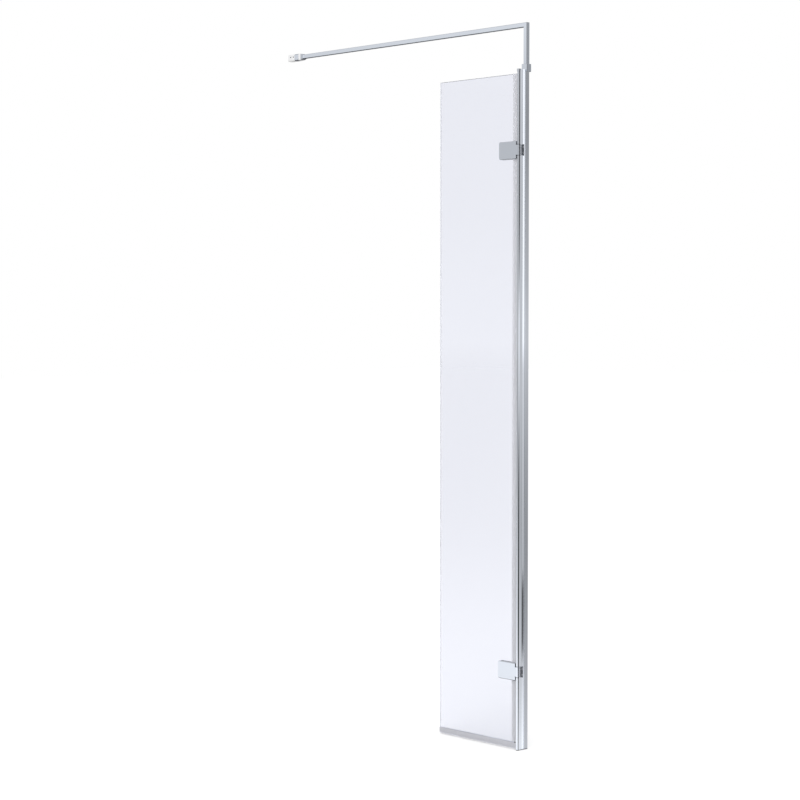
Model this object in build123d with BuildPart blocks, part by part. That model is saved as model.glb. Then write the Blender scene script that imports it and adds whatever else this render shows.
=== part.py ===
from build123d import *
import os

# Hinged shower return panel, in millimetres, +Z up. The origin is on the hinge line at the foot of the
# post. The glass and the support arm run towards -X, and a fixed screen enters the post from +Y.

os.makedirs("parts", exist_ok=True)

# Overall sizes
post_height = 1850.0
panel_reach = 305.0
arm_reach = 991.0
arm_rise = 127.0

# Fits and gaps
press_gap = 0.01
thread_gap = 0.02
running_gap = 0.05
seal_clip_gap = 0.05
seat_gap = 0.1
screw_gap = 0.2
moving_gap = 0.3
closing_gap = 0.5
seal_end_gap = 0.5

# Hinge pin, bushes and barrel
pin_radius = 2.5
pin_bite = 20.0
pin_bevel = 0.5
bush_wall = 1.0
bush_flange = 1.0
bush_flange_step = 0.3
bush_length = 9.0
barrel_height = 28.2
lower_hinge_height = 215.0
upper_hinge_drop = 217.5

# Clamp plates and gaskets
plate_thickness = 4.5
plate_width = 64.4
plate_height = 48.0
plate_outer_corner = 5.0
plate_inner_corner = 1.5
plate_edge_round = 1.6
plate_end_gap = 1.0
gasket_thickness = 1.0
boss_radius = 5.0
boss_end_gap = 0.5
boss_inset = 22.0
boss_spacing = 26.0
sleeve_wall = 0.8
glass_hole_radius = 6.0
clamp_screw_radius = 2.5
clamp_head_radius = 4.6
clamp_screw_length = 14.0
clamp_thread_end = 1.0

# Glass
glass_thickness = 8.0
glass_edge_gap = 11.5
glass_foot_gap = 9.5
glass_top_drop = 12.0
glass_arris = 0.8
glass_corner = 2.0

# Hinge profile
nose_radius = 4.5
web_thickness = 1.9
web_lean = 0.5
body_width = 9.8
body_depth = 10.7
body_lean = 1.0
profile_wall = 1.6
port_radius = 1.5
port_wall = 1.2
port_sink = 0.6
profile_round = 0.4

# Caps
cap_roof = 1.6
nose_cap_wall = 1.0
nose_cap_height = 7.0
nose_cap_round = 0.6
foot_plate = 2.0
setting_block_height = 10.0
cap_screw_head = 2.8
cap_screw_length = 14.0

# Glazing channel
channel_width = 16.3
channel_depth = 13.8
channel_wall = 1.8
channel_lip = 0.8
channel_step = 0.5
channel_top_drop = 5.7
channel_round = 0.4
screen_slot = 8.4
gasket_stand_out = 0.6
channel_screw_count = 5
channel_screw_margin = 95.0
channel_screw_radius = 1.7
channel_screw_head = 3.3
channel_screw_length = 4.0

# Fixed hinge leaf
leaf_thickness = 2.0
leaf_near = 3.0
leaf_bevel = 0.4
leaf_far = 14.4
leaf_near_height = 27.6
leaf_far_height = 31.0
leaf_screw_line = 12.0
leaf_screw_spacing = 16.0
leaf_screw_radius = 1.5
leaf_screw_head = 2.8
leaf_screw_length = 5.0

# Side and bottom seals
seal_wall = 0.95
seal_bridge = 1.0
side_leg = 12.7
nose_lip_root = 1.4
nose_lip_tip = 0.6
closing_lip_reach = 1.8
bottom_leg = 12.3
bottom_seal_end_gap = 0.7
fin_root = 1.2
fin_tip = 0.7
fin_drop = 6.7
fin_splay = 1.1

# Support arm
tube_size = 12.0
tube_wall = 1.5
tube_corner = 1.2
tube_inside_corner = 0.3
joiner_leg = 35.0
corner_grub_radius = 1.5
corner_grub_length = 3.0
corner_grub_place = 20.0

# Arm collar
collar_width = 20.0
collar_depth = 18.0
collar_height = 20.9
collar_floor = 5.0
collar_corner = 1.5
collar_bevel = 0.6
collar_overhang = 6.6
spigot_length = 20.0
spigot_depth = 9.9
collar_screw_radius = 2.0
collar_screw_head = 3.6
collar_screw_length = 14.0
grub_radius = 2.0
collar_grub_spacing = 5.5

# Wall boss, wall bracket, and the sleeve, ring and ferrule on the end of the arm
boss_block_length = 18.0
boss_block_depth = 16.0
boss_block_height = 18.0
boss_block_corner = 1.0
wall_hole_radius = 2.25
wall_hole_spacing = 9.0
wall_hole_sink_radius = 4.0
wall_hole_sink_depth = 5.0
block_length = 28.0
block_depth = 22.0
block_height = 21.0
block_corner = 4.0
block_end_round = 2.0
tail_floor = 20.0
tail_size = 14.0
tail_corner = 1.0
neck_size = 20.0
neck_length = 18.0
neck_corner = 3.0
sleeve_floor = 30.0
ring_size = 19.2
ring_length = 9.4
ferrule_start_size = 18.4
ferrule_end_size = 14.0
ferrule_length = 9.6
ferrule_corner = 2.0
bracket_grub_places = (11.5, 24.5)
bracket_grub_raise = 1.5
sleeve_grub_place = 38.0

# Screw heads and sockets
head_angle = 90.0
socket_share = 0.5

# Places that follow from the sizes above
barrel_radius = nose_radius
clear_bore = pin_radius + running_gap
bush_radius = clear_bore + bush_wall
barrel_bore = bush_radius + press_gap
bush_flange_radius = barrel_radius - bush_flange_step
notch_radius = max(barrel_radius, nose_radius) + moving_gap
notch_height = barrel_height + 2 * (bush_flange + moving_gap)
plate_back = plate_thickness - barrel_radius
glass_front = plate_back + gasket_thickness
glass_back = glass_front + glass_thickness
clamp_back = glass_back + gasket_thickness + plate_thickness
boss_length = gasket_thickness + glass_thickness - boss_end_gap
body_front = glass_back + seal_clip_gap + seal_wall + closing_gap
body_back = body_front + body_depth
body_left = nose_radius - body_width
port_x = body_left + profile_wall + port_radius + port_wall - port_sink
port_y = (body_front + body_back) / 2
profile_top = post_height - cap_roof
plate_right = body_left - plate_end_gap
plate_middle = plate_right - plate_width / 2
hinge_heights = {"lower": lower_hinge_height, "upper": post_height - upper_hinge_drop}
boss_xs = (plate_right - boss_inset, plate_right - boss_inset - boss_spacing)
glass_right = -glass_edge_gap
glass_top = post_height - glass_top_drop
clip_floor = glass_foot_gap - seat_gap
clip_bottom = clip_floor - seal_bridge
bottom_seal_top = clip_floor + bottom_leg
channel_right = nose_radius + channel_step
channel_left = channel_right - channel_width
channel_middle = (channel_left + channel_right) / 2
channel_top = post_height - channel_top_drop
channel_floor = body_back + channel_wall
channel_back = body_back + channel_depth
channel_half = channel_width / 2 - channel_wall
setting_block_top = foot_plate + setting_block_height
spigot_bottom = channel_top - spigot_length
spigot_back = channel_floor + seat_gap + spigot_depth
collar_back = channel_back + collar_overhang
arm_line = collar_back - collar_depth / 2
arm_top = post_height + arm_rise
arm_axis = arm_top - tube_size / 2
tube_half = tube_size / 2
socket_size = tube_size + 2 * seat_gap
leaf_outside = nose_radius + leaf_thickness
wall_plane = Plane(origin=(-arm_reach, arm_line, arm_axis), x_dir=(0, 1, 0), z_dir=(1, 0, 0))
ring_start = block_length + neck_length
ferrule_start = ring_start + ring_length


def save(piece, label):
    """Label a finished piece and write it to its own file."""
    piece.part.label = label
    export_step(piece.part, f"parts/{label}.step")


def body_corners(grow):
    """Corners of the post's box, moved out by grow: its outer side leans in towards the back."""
    return [
        (body_left - grow, body_front - grow),
        (nose_radius + grow, body_front - grow),
        (nose_radius - body_lean + grow, body_back + grow),
        (body_left - grow, body_back + grow),
    ]


def web_outline(grow, mode=Mode.ADD):
    """Draw the web that joins the round nose to the box: its outer side leans in towards the box."""
    inside = nose_radius - web_thickness - grow
    outside = nose_radius + grow
    Polygon(
        (inside, 0),
        (outside, 0),
        (outside - web_lean, body_front),
        (inside - web_lean, body_front),
        align=None,
        mode=mode,
    )


def body_outline():
    """Draw the post's box with rounded corners, in the current sketch."""
    with BuildSketch(mode=Mode.PRIVATE) as body:
        Polygon(*body_corners(0), align=None)
        fillet(body.vertices(), profile_round)
    add(body.sketch)


def channel_outline():
    """Draw the outside of the glazing channel with rounded corners, in the current sketch."""
    with Locations((channel_middle, (body_back + channel_back) / 2)):
        RectangleRounded(channel_width, channel_depth, channel_round)


def screw_solid(head_radius, shank_radius, length):
    """Countersunk screw at each current location, its flat head level with it."""
    top = (Align.CENTER, Align.CENTER, Align.MAX)
    Cone(shank_radius, head_radius, head_radius - shank_radius, align=top)
    Cylinder(shank_radius, length, align=top)


def screw_node(label, seats, head_radius, shank_radius, length):
    """One node of countersunk screws with hexagon sockets, one at each seat."""
    with BuildPart() as screws:
        with Locations(*seats):
            screw_solid(head_radius, shank_radius, length)
        with BuildSketch(*seats):
            RegularPolygon(head_radius * socket_share, 6)
        extrude(amount=shank_radius - head_radius, mode=Mode.SUBTRACT)
    save(screws, label)


def sink(seats, head_radius, shank_radius):
    """Countersunk clearance holes at the seats, in the current part."""
    with Locations(*seats):
        CounterSinkHole(shank_radius + screw_gap, head_radius + seat_gap, counter_sink_angle=head_angle)


def thread(seats, radius, depth):
    """Tapped holes at the seats, to a given depth, in the current part."""
    with Locations(*seats):
        Hole(radius + thread_gap, depth=depth)


def grub_node(label, seats, radius, lengths):
    """One node of grub screws, each with its own length, with hexagon sockets."""
    with BuildPart() as grubs:
        for seat, length in zip(seats, lengths):
            with BuildSketch(seat):
                Circle(radius)
            extrude(amount=-length)
        with BuildSketch(*seats):
            RegularPolygon(radius * socket_share, 6)
        extrude(amount=-radius, mode=Mode.SUBTRACT)
    save(grubs, label)


def square_tube(plane, length):
    """Square tube with rounded corners along the plane's normal, in the current part."""
    inside = tube_size - 2 * tube_wall
    with BuildSketch(plane) as section:
        RectangleRounded(tube_size, tube_size, tube_corner)
        RectangleRounded(inside, inside, tube_inside_corner, mode=Mode.SUBTRACT)
    return extrude(section.sketch, amount=length, mode=Mode.PRIVATE)


# Seats of the screws: on the outer end of each screw, facing out of the piece that holds it
channel_screw_pitch = (channel_top - 2 * channel_screw_margin) / (channel_screw_count - 1)
channel_screw_seats = [
    Plane((channel_middle, channel_floor, channel_screw_margin + step * channel_screw_pitch), z_dir=(0, 1, 0))
    for step in range(channel_screw_count)
]
top_cap_seat = Plane((port_x, port_y, post_height), z_dir=(0, 0, 1))
foot_cap_seat = Plane((port_x, port_y, 0), z_dir=(0, 0, -1))
collar_screw_seat = Plane((channel_middle, spigot_back, spigot_bottom + spigot_length / 2), z_dir=(0, 1, 0))
leaf_screw_seats = [
    Plane((leaf_outside, leaf_screw_line, height + side * leaf_screw_spacing / 2), z_dir=(1, 0, 0))
    for height in hinge_heights.values()
    for side in (-1, 1)
]
socket_middle = channel_top + (collar_floor + collar_height) / 2
collar_grub_seats = [
    Plane((channel_middle, collar_back, socket_middle + side * collar_grub_spacing / 2), z_dir=(0, 1, 0))
    for side in (-1, 1)
]
corner_grub_seats = [
    Plane((channel_middle, arm_line + tube_half, arm_axis - corner_grub_place), z_dir=(0, 1, 0)),
    Plane((channel_middle - corner_grub_place, arm_line + tube_half, arm_axis), z_dir=(0, 1, 0)),
]
bracket_grub_seats = [
    Plane((place - arm_reach, arm_line - block_depth / 2, arm_axis + bracket_grub_raise), z_dir=(0, -1, 0))
    for place in bracket_grub_places
]
sleeve_grub_seat = Plane((sleeve_grub_place - arm_reach, arm_line + neck_size / 2, arm_axis), z_dir=(0, 1, 0))


# Hinge profile: round nose with a bore on the hinge line, a web, and a hollow box with a screw port
with BuildPart() as hinge_profile:
    with BuildSketch(Plane.XY.offset(foot_plate)):
        Circle(nose_radius)
        web_outline(0)
        body_outline()
        Circle(pin_radius + press_gap, mode=Mode.SUBTRACT)
        Polygon(*body_corners(-profile_wall), align=None, mode=Mode.SUBTRACT)
        with Locations((port_x, port_y)):
            Circle(port_radius + port_wall)
            Circle(port_radius, mode=Mode.SUBTRACT)
    extrude(amount=profile_top - foot_plate)
    with Locations(*[(0, 0, height) for height in hinge_heights.values()]):
        Cylinder(notch_radius, notch_height, mode=Mode.SUBTRACT)
    thread(channel_screw_seats, channel_screw_radius, channel_screw_length)
    thread([collar_screw_seat], collar_screw_radius, collar_screw_length)
    thread(leaf_screw_seats, leaf_screw_radius, leaf_screw_length)
save(hinge_profile, "hinge_profile")

# Nose cap: cup pushed over the top of the nose, with its wall open where the web passes
nose_cap_radius = nose_radius + seat_gap + nose_cap_wall
with BuildPart() as nose_cap:
    with BuildSketch(Plane.XY.offset(post_height - nose_cap_height)):
        Circle(nose_cap_radius)
    extrude(amount=nose_cap_height)
    fillet(nose_cap.faces().sort_by(Axis.Z)[-1].edges(), nose_cap_round)
    with BuildSketch(Plane.XY.offset(post_height - nose_cap_height)):
        Circle(nose_radius + seat_gap)
        web_outline(seat_gap)
    extrude(amount=nose_cap_height - cap_roof, mode=Mode.SUBTRACT)
save(nose_cap, "nose_cap")

# Top cap: plate on top of the web and the box, screwed into the port
with BuildPart() as profile_top_cap:
    with BuildSketch(Plane.XY.offset(profile_top)):
        web_outline(0)
        body_outline()
        Circle(nose_cap_radius + seat_gap, mode=Mode.SUBTRACT)
    extrude(amount=cap_roof)
    sink([top_cap_seat], cap_screw_head, port_radius)
save(profile_top_cap, "profile_top_cap")

# Foot: plate under the whole post, with a setting block for the fixed screen in the channel
with BuildPart() as foot_cap:
    with BuildSketch():
        Circle(nose_radius)
        web_outline(0)
        body_outline()
        channel_outline()
    extrude(amount=foot_plate)
    with BuildSketch(Plane.XY.offset(foot_plate)):
        block_front = channel_floor + seat_gap
        block_back = channel_back - channel_lip - seat_gap
        with Locations((channel_middle, (block_front + block_back) / 2)):
            Rectangle(2 * (channel_half - seat_gap), block_back - block_front)
    extrude(amount=setting_block_height)
    sink([foot_cap_seat], cap_screw_head, port_radius)
save(foot_cap, "foot_cap")

screw_node("top_cap_screw", [top_cap_seat], cap_screw_head, port_radius - thread_gap, cap_screw_length)
screw_node("foot_cap_screw", [foot_cap_seat], cap_screw_head, port_radius - thread_gap, cap_screw_length)

# Glazing channel: U section, open to the back, with a small lip along each edge
with BuildPart() as glazing_channel:
    with BuildSketch(Plane.XY.offset(foot_plate)):
        channel_outline()
        with Locations((channel_middle, (channel_floor + channel_back - channel_lip) / 2)):
            Rectangle(2 * channel_half, channel_back - channel_lip - channel_floor, mode=Mode.SUBTRACT)
        with Locations((channel_middle, channel_back)):
            Rectangle(2 * (channel_half - channel_lip), 2 * channel_lip, mode=Mode.SUBTRACT)
    extrude(amount=channel_top - foot_plate)
    sink(channel_screw_seats, channel_screw_head, channel_screw_radius)
    with Locations(collar_screw_seat):
        Hole(collar_screw_radius + screw_gap, depth=collar_screw_length)
save(glazing_channel, "glazing_channel")

screw_node(
    "channel_screws", channel_screw_seats, channel_screw_head, channel_screw_radius, channel_screw_length
)

# Glazing gaskets: one on each side of the fixed screen, hooked behind the lips of the channel
for label, side in (("outer", 1), ("inner", -1)):
    wall_x = channel_middle + side * (channel_half - seat_gap)
    grip_x = channel_middle + side * screen_slot / 2
    shoulder_x = wall_x - side * channel_lip
    with BuildPart() as glazing_gasket:
        with BuildSketch(Plane.XY.offset(setting_block_top + seat_gap)):
            Polygon(
                (wall_x, channel_floor + seat_gap),
                (wall_x, channel_back - channel_lip - seat_gap),
                (shoulder_x, channel_back - channel_lip - seat_gap),
                (shoulder_x, channel_back + gasket_stand_out),
                (grip_x, channel_back + gasket_stand_out),
                (grip_x, channel_floor + seat_gap),
                align=None,
            )
        extrude(amount=spigot_bottom - setting_block_top - 2 * seat_gap)
    save(glazing_gasket, f"glazing_gasket_{label}")

# Arm collar: block on top of the channel, with a square socket and a spigot down inside the channel
with BuildPart() as arm_collar:
    with BuildSketch(Plane.XY.offset(channel_top)):
        with Locations((channel_middle, arm_line)):
            RectangleRounded(collar_width, collar_depth, collar_corner)
    extrude(amount=collar_height)
    chamfer(arm_collar.faces().sort_by(Axis.Z)[-1].edges(), collar_bevel)
    with BuildSketch(Plane.XY.offset(channel_top + collar_floor)):
        with Locations((channel_middle, arm_line)):
            RectangleRounded(socket_size, socket_size, tube_corner)
    extrude(amount=collar_height, mode=Mode.SUBTRACT)
    with BuildSketch(Plane.XY.offset(channel_top)):
        with Locations((channel_middle, spigot_back - spigot_depth / 2)):
            Rectangle(2 * (channel_half - seat_gap), spigot_depth)
    extrude(amount=-spigot_length)
    sink([collar_screw_seat], collar_screw_head, collar_screw_radius)
    thread(collar_grub_seats, grub_radius, collar_depth / 2)
save(arm_collar, "arm_collar")

screw_node("collar_screw", [collar_screw_seat], collar_screw_head, collar_screw_radius, collar_screw_length)
collar_grub_length = collar_depth / 2 - tube_half
grub_node("collar_grub_screws", collar_grub_seats, grub_radius, (collar_grub_length, collar_grub_length))

# Riser and arm: square tubes that meet in a mitre
mitre = Plane(origin=(channel_middle, arm_line, arm_axis), z_dir=(-1, 0, 1))
riser_start = Plane((channel_middle, arm_line, channel_top + collar_floor), z_dir=(0, 0, 1))
arm_start = Plane((sleeve_floor + seat_gap - arm_reach, arm_line, arm_axis), z_dir=(1, 0, 0))

with BuildPart() as riser_tube:
    add(square_tube(riser_start, arm_top - channel_top - collar_floor))
    split(bisect_by=mitre, keep=Keep.BOTTOM)
    thread(corner_grub_seats[:1], corner_grub_radius, tube_half)
save(riser_tube, "riser_tube")

with BuildPart() as arm_tube:
    add(square_tube(arm_start, channel_middle + tube_half + arm_reach - sleeve_floor - seat_gap))
    split(bisect_by=mitre, keep=Keep.TOP)
    thread(corner_grub_seats[1:], corner_grub_radius, tube_half)
save(arm_tube, "arm_tube")

# Corner joiner: solid angle inside both tubes
joiner_size = tube_size - 2 * tube_wall - 2 * seat_gap
joiner_half = joiner_size / 2
with BuildPart() as corner_joiner:
    with BuildSketch(Plane.XZ.offset(joiner_half - arm_line)):
        Polygon(
            (channel_middle + joiner_half, arm_axis + joiner_half),
            (channel_middle - joiner_leg, arm_axis + joiner_half),
            (channel_middle - joiner_leg, arm_axis - joiner_half),
            (channel_middle - joiner_half, arm_axis - joiner_half),
            (channel_middle - joiner_half, arm_axis - joiner_leg),
            (channel_middle + joiner_half, arm_axis - joiner_leg),
            align=None,
        )
    extrude(amount=-joiner_size)
    thread(corner_grub_seats, corner_grub_radius, corner_grub_length + seat_gap)
save(corner_joiner, "corner_joiner")

grub_node(
    "corner_grub_screws", corner_grub_seats, corner_grub_radius, (corner_grub_length, corner_grub_length)
)

# Wall boss: block screwed to the wall, hidden in the wall bracket
with BuildPart() as wall_boss:
    with BuildSketch(wall_plane):
        RectangleRounded(boss_block_depth, boss_block_height, boss_block_corner)
    extrude(amount=boss_block_length)
    with Locations(wall_plane.offset(boss_block_length)):
        with GridLocations(0, wall_hole_spacing, 1, 2):
            CounterBoreHole(wall_hole_radius, wall_hole_sink_radius, wall_hole_sink_depth)
save(wall_boss, "wall_boss")

# Wall bracket: rounded cover over the wall boss, with a socket for the tail of the sleeve
with BuildPart() as wall_bracket:
    with BuildSketch(wall_plane):
        RectangleRounded(block_depth, block_height, block_corner)
    extrude(amount=block_length)
    fillet(wall_bracket.faces().sort_by(Axis.X)[-1].edges(), block_end_round)
    with BuildSketch(wall_plane):
        cavity_depth = boss_block_depth + 2 * seat_gap
        cavity_height = boss_block_height + 2 * seat_gap
        RectangleRounded(cavity_depth, cavity_height, boss_block_corner)
    extrude(amount=boss_block_length + seat_gap, mode=Mode.SUBTRACT)
    with BuildSketch(wall_plane.offset(tail_floor)):
        RectangleRounded(tail_size + 2 * seat_gap, tail_size + 2 * seat_gap, tail_corner)
    extrude(amount=block_length, mode=Mode.SUBTRACT)
    thread(bracket_grub_seats, grub_radius, block_depth / 2)
save(wall_bracket, "wall_bracket")

# Arm sleeve: square neck with a tail in the wall bracket and a socket for the end of the arm
with BuildPart() as arm_sleeve:
    with BuildSketch(wall_plane.offset(tail_floor + seat_gap)):
        RectangleRounded(tail_size, tail_size, tail_corner)
    extrude(amount=block_length - tail_floor - seat_gap)
    with BuildSketch(wall_plane.offset(block_length)):
        RectangleRounded(neck_size, neck_size, neck_corner)
    extrude(amount=neck_length)
    with BuildSketch(wall_plane.offset(sleeve_floor)):
        RectangleRounded(socket_size, socket_size, tube_corner)
    extrude(amount=neck_length, mode=Mode.SUBTRACT)
    thread([sleeve_grub_seat], grub_radius, neck_size / 2)
save(arm_sleeve, "arm_sleeve")

# Ring and ferrule: trim round the arm at the mouth of the sleeve
with BuildPart() as sleeve_ring:
    with BuildSketch(wall_plane.offset(ring_start)):
        RectangleRounded(ring_size, ring_size, neck_corner)
        RectangleRounded(socket_size, socket_size, tube_corner, mode=Mode.SUBTRACT)
    extrude(amount=ring_length)
save(sleeve_ring, "sleeve_ring")

with BuildPart() as arm_ferrule:
    with BuildSketch(wall_plane.offset(ferrule_start)):
        RectangleRounded(ferrule_start_size, ferrule_start_size, ferrule_corner)
    with BuildSketch(wall_plane.offset(ferrule_start + ferrule_length)):
        RectangleRounded(ferrule_end_size, ferrule_end_size, ferrule_corner)
    loft()
    with BuildSketch(wall_plane.offset(ferrule_start)):
        RectangleRounded(socket_size, socket_size, tube_corner)
    extrude(amount=ferrule_length, mode=Mode.SUBTRACT)
save(arm_ferrule, "arm_ferrule")

grub_node(
    "bracket_grub_screws",
    [*bracket_grub_seats, sleeve_grub_seat],
    grub_radius,
    ((block_depth - boss_block_depth) / 2, (block_depth - tail_size) / 2, (neck_size - tube_size) / 2),
)

# Glass: toughened sheet with bevelled edges and two holes for each hinge
hole_places = [(x, height) for height in hinge_heights.values() for x in boss_xs]
with BuildPart() as glass_panel:
    with BuildSketch(Plane.XZ.offset(-glass_back)):
        glass_width = panel_reach + glass_right
        glass_height = glass_top - glass_foot_gap
        with Locations((glass_right - glass_width / 2, glass_foot_gap + glass_height / 2)):
            RectangleRounded(glass_width, glass_height, glass_corner)
        with Locations(*hole_places):
            Circle(glass_hole_radius, mode=Mode.SUBTRACT)
    extrude(amount=glass_thickness)
    chamfer(glass_panel.faces().filter_by(Axis.Y).edges(), glass_arris)
save(glass_panel, "glass_panel")

# Side seal: soft clip on the hinge edge of the glass, in three lengths between and beyond the hinges,
# with one lip to the nose and one that closes against the front of the box
plate_reach = plate_height / 2 + seal_end_gap
side_seal_spans = {
    "bottom": (bottom_seal_top + seal_end_gap, hinge_heights["lower"] - plate_reach),
    "middle": (hinge_heights["lower"] + plate_reach, hinge_heights["upper"] - plate_reach),
    "top": (hinge_heights["upper"] + plate_reach, glass_top),
}
clip_front = glass_front - seal_clip_gap - seal_wall
clip_back = glass_back + seal_clip_gap + seal_wall
bridge_left = glass_right + seat_gap
bridge_right = bridge_left + seal_bridge
leg_end = glass_right - side_leg
closing_lip_end = body_left + closing_lip_reach
for label, (bottom, top) in side_seal_spans.items():
    with BuildPart() as side_seal:
        with BuildSketch(Plane.XY.offset(bottom)):
            Polygon(
                (leg_end, clip_front),
                (bridge_right, clip_front),
                (bridge_right, clip_back),
                (leg_end, clip_back),
                (leg_end, clip_back - seal_wall),
                (bridge_left, clip_back - seal_wall),
                (bridge_left, clip_front + seal_wall),
                (leg_end, clip_front + seal_wall),
                align=None,
            )
            nose_lip_end = -nose_radius - moving_gap
            Polygon(
                (bridge_right, clip_front),
                (nose_lip_end, clip_front),
                (nose_lip_end, clip_front + nose_lip_tip),
                (bridge_right, clip_front + nose_lip_root),
                align=None,
            )
            Polygon(
                (bridge_right, clip_back - seal_wall),
                (closing_lip_end, clip_back - seal_wall),
                (closing_lip_end, clip_back),
                (bridge_right, clip_back),
                align=None,
            )
        extrude(amount=top - bottom)
    save(side_seal, f"side_seal_{label}")

# Bottom seal: soft clip along the bottom edge of the glass with two fins that turn the water back
with BuildPart() as bottom_seal:
    with BuildSketch(Plane.YZ.offset(-panel_reach)):
        Polygon(
            (clip_front, clip_bottom),
            (clip_back, clip_bottom),
            (clip_back, bottom_seal_top),
            (clip_back - seal_wall, bottom_seal_top),
            (clip_back - seal_wall, clip_floor),
            (clip_front + seal_wall, clip_floor),
            (clip_front + seal_wall, bottom_seal_top),
            (clip_front, bottom_seal_top),
            align=None,
        )
        fin_roots = (clip_front + fin_splay, clip_back - fin_splay - fin_root)
        for root, lean in zip(fin_roots, (-fin_splay, fin_splay)):
            Polygon(
                (root, clip_bottom),
                (root + fin_root, clip_bottom),
                (root + lean + fin_tip, clip_bottom - fin_drop),
                (root + lean, clip_bottom - fin_drop),
                align=None,
            )
    extrude(amount=panel_reach + body_left - bottom_seal_end_gap)
save(bottom_seal, "bottom_seal")


def plate_outline(plane, height, with_neck=False):
    """Outline of the clamp plates and their gaskets, with the neck to the barrel if asked for."""
    with BuildSketch(plane) as outline:
        with Locations((plate_middle, height)):
            Rectangle(plate_width, plate_height)
        fillet(outline.vertices().group_by(Axis.X)[0], plate_outer_corner)
        fillet(outline.vertices().group_by(Axis.X)[-1], plate_inner_corner)
        if with_neck:
            with Locations(((plate_right - plate_inner_corner) / 2, height)):
                Rectangle(-plate_right + plate_inner_corner, barrel_height)
    return outline.sketch


def boss_planes(y, height):
    """Planes across the clamp bosses of one hinge, facing the back."""
    return [Plane((x, y, height), z_dir=(0, 1, 0)) for x in boss_xs]


for name, height in hinge_heights.items():
    # Front plate: clamp plate, neck and barrel in one casting, with two bosses that pass through the glass
    with BuildPart() as front_plate:
        extrude(plate_outline(Plane.XZ.offset(-plate_back), height, with_neck=True), amount=plate_thickness)
        front_edges = front_plate.faces().sort_by(Axis.Y)[0].edges()
        fillet(front_edges.sort_by(Axis.X)[:-1], plate_edge_round)
        with BuildSketch(*boss_planes(plate_back, height)):
            Circle(boss_radius)
        extrude(amount=boss_length)
        with Locations((0, 0, height)):
            Cylinder(barrel_radius, barrel_height)
            Cylinder(barrel_bore, barrel_height, mode=Mode.SUBTRACT)
        boss_ends = boss_planes(plate_back + boss_length, height)
        thread(boss_ends, clamp_screw_radius, boss_length + clamp_thread_end)
    save(front_plate, f"{name}_front_plate")

    # Front gasket: soft sheet under the front plate, with a sleeve round each boss
    sleeve_outside = boss_radius + seat_gap + sleeve_wall
    with BuildPart() as front_gasket:
        extrude(plate_outline(Plane.XZ.offset(-glass_front), height), amount=gasket_thickness)
        with BuildSketch(*boss_planes(plate_back, height)):
            Circle(sleeve_outside)
        extrude(amount=gasket_thickness + glass_thickness - seat_gap)
        with BuildSketch(*boss_planes(plate_back, height)):
            Circle(boss_radius + seat_gap)
        extrude(amount=gasket_thickness + glass_thickness, mode=Mode.SUBTRACT)
    save(front_gasket, f"{name}_front_gasket")

    # Back gasket and back plate: same outline, clamped by two screws
    with BuildPart() as back_gasket:
        extrude(
            plate_outline(Plane.XZ.offset(-glass_back - gasket_thickness), height), amount=gasket_thickness
        )
        with Locations(*boss_planes(glass_back + gasket_thickness, height)):
            Hole(clamp_screw_radius + screw_gap)
    save(back_gasket, f"{name}_back_gasket")

    clamp_seats = boss_planes(clamp_back, height)
    with BuildPart() as back_plate:
        extrude(plate_outline(Plane.XZ.offset(-clamp_back), height), amount=plate_thickness)
        fillet(back_plate.faces().sort_by(Axis.Y)[-1].edges(), plate_edge_round)
        sink(clamp_seats, clamp_head_radius, clamp_screw_radius)
    save(back_plate, f"{name}_back_plate")

    screw_node(
        f"{name}_clamp_screws", clamp_seats, clamp_head_radius, clamp_screw_radius, clamp_screw_length
    )

    # Hinge bushes: flanged, pressed into both ends of the barrel
    with BuildPart() as hinge_bushes:
        for side in (-1, 1):
            end = Plane((0, 0, height + side * barrel_height / 2), z_dir=(0, 0, side))
            with BuildSketch(end):
                Circle(bush_flange_radius)
            extrude(amount=bush_flange)
            with BuildSketch(end):
                Circle(bush_radius)
            extrude(amount=-bush_length)
        with Locations((0, 0, height)):
            Cylinder(clear_bore, notch_height, mode=Mode.SUBTRACT)
    save(hinge_bushes, f"{name}_hinge_bushes")

    # Hinge pin: fixed in the bore of the nose above and below the notch
    with BuildPart() as hinge_pin:
        with Locations((0, 0, height)):
            Cylinder(pin_radius, notch_height + 2 * pin_bite)
        chamfer(hinge_pin.edges().filter_by(GeomType.CIRCLE), pin_bevel)
    save(hinge_pin, f"{name}_hinge_pin")

    # Side leaf: fixed plate that covers the end of the notch, flared towards the box and bevelled in front
    with BuildPart() as side_leaf:
        with BuildSketch(Plane.XY.offset(height - leaf_far_height / 2)):
            Polygon(
                (nose_radius, leaf_near),
                (leaf_outside - leaf_bevel, leaf_near),
                (leaf_outside, leaf_near + leaf_bevel),
                (leaf_outside, leaf_far),
                (nose_radius, leaf_far),
                align=None,
            )
        extrude(amount=leaf_far_height)
        with BuildSketch(Plane.YZ.offset(nose_radius)):
            Polygon(
                (leaf_near, height - leaf_near_height / 2),
                (leaf_far, height - leaf_far_height / 2),
                (leaf_far, height + leaf_far_height / 2),
                (leaf_near, height + leaf_near_height / 2),
                align=None,
            )
        extrude(amount=leaf_thickness, mode=Mode.INTERSECT)
        sink(leaf_screw_seats, leaf_screw_head, leaf_screw_radius)
    save(side_leaf, f"{name}_side_leaf")

screw_node("leaf_screws", leaf_screw_seats, leaf_screw_head, leaf_screw_radius, leaf_screw_length)
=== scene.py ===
import logging
import math
from dataclasses import dataclass, field
from enum import Enum
from typing import Sequence

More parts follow.
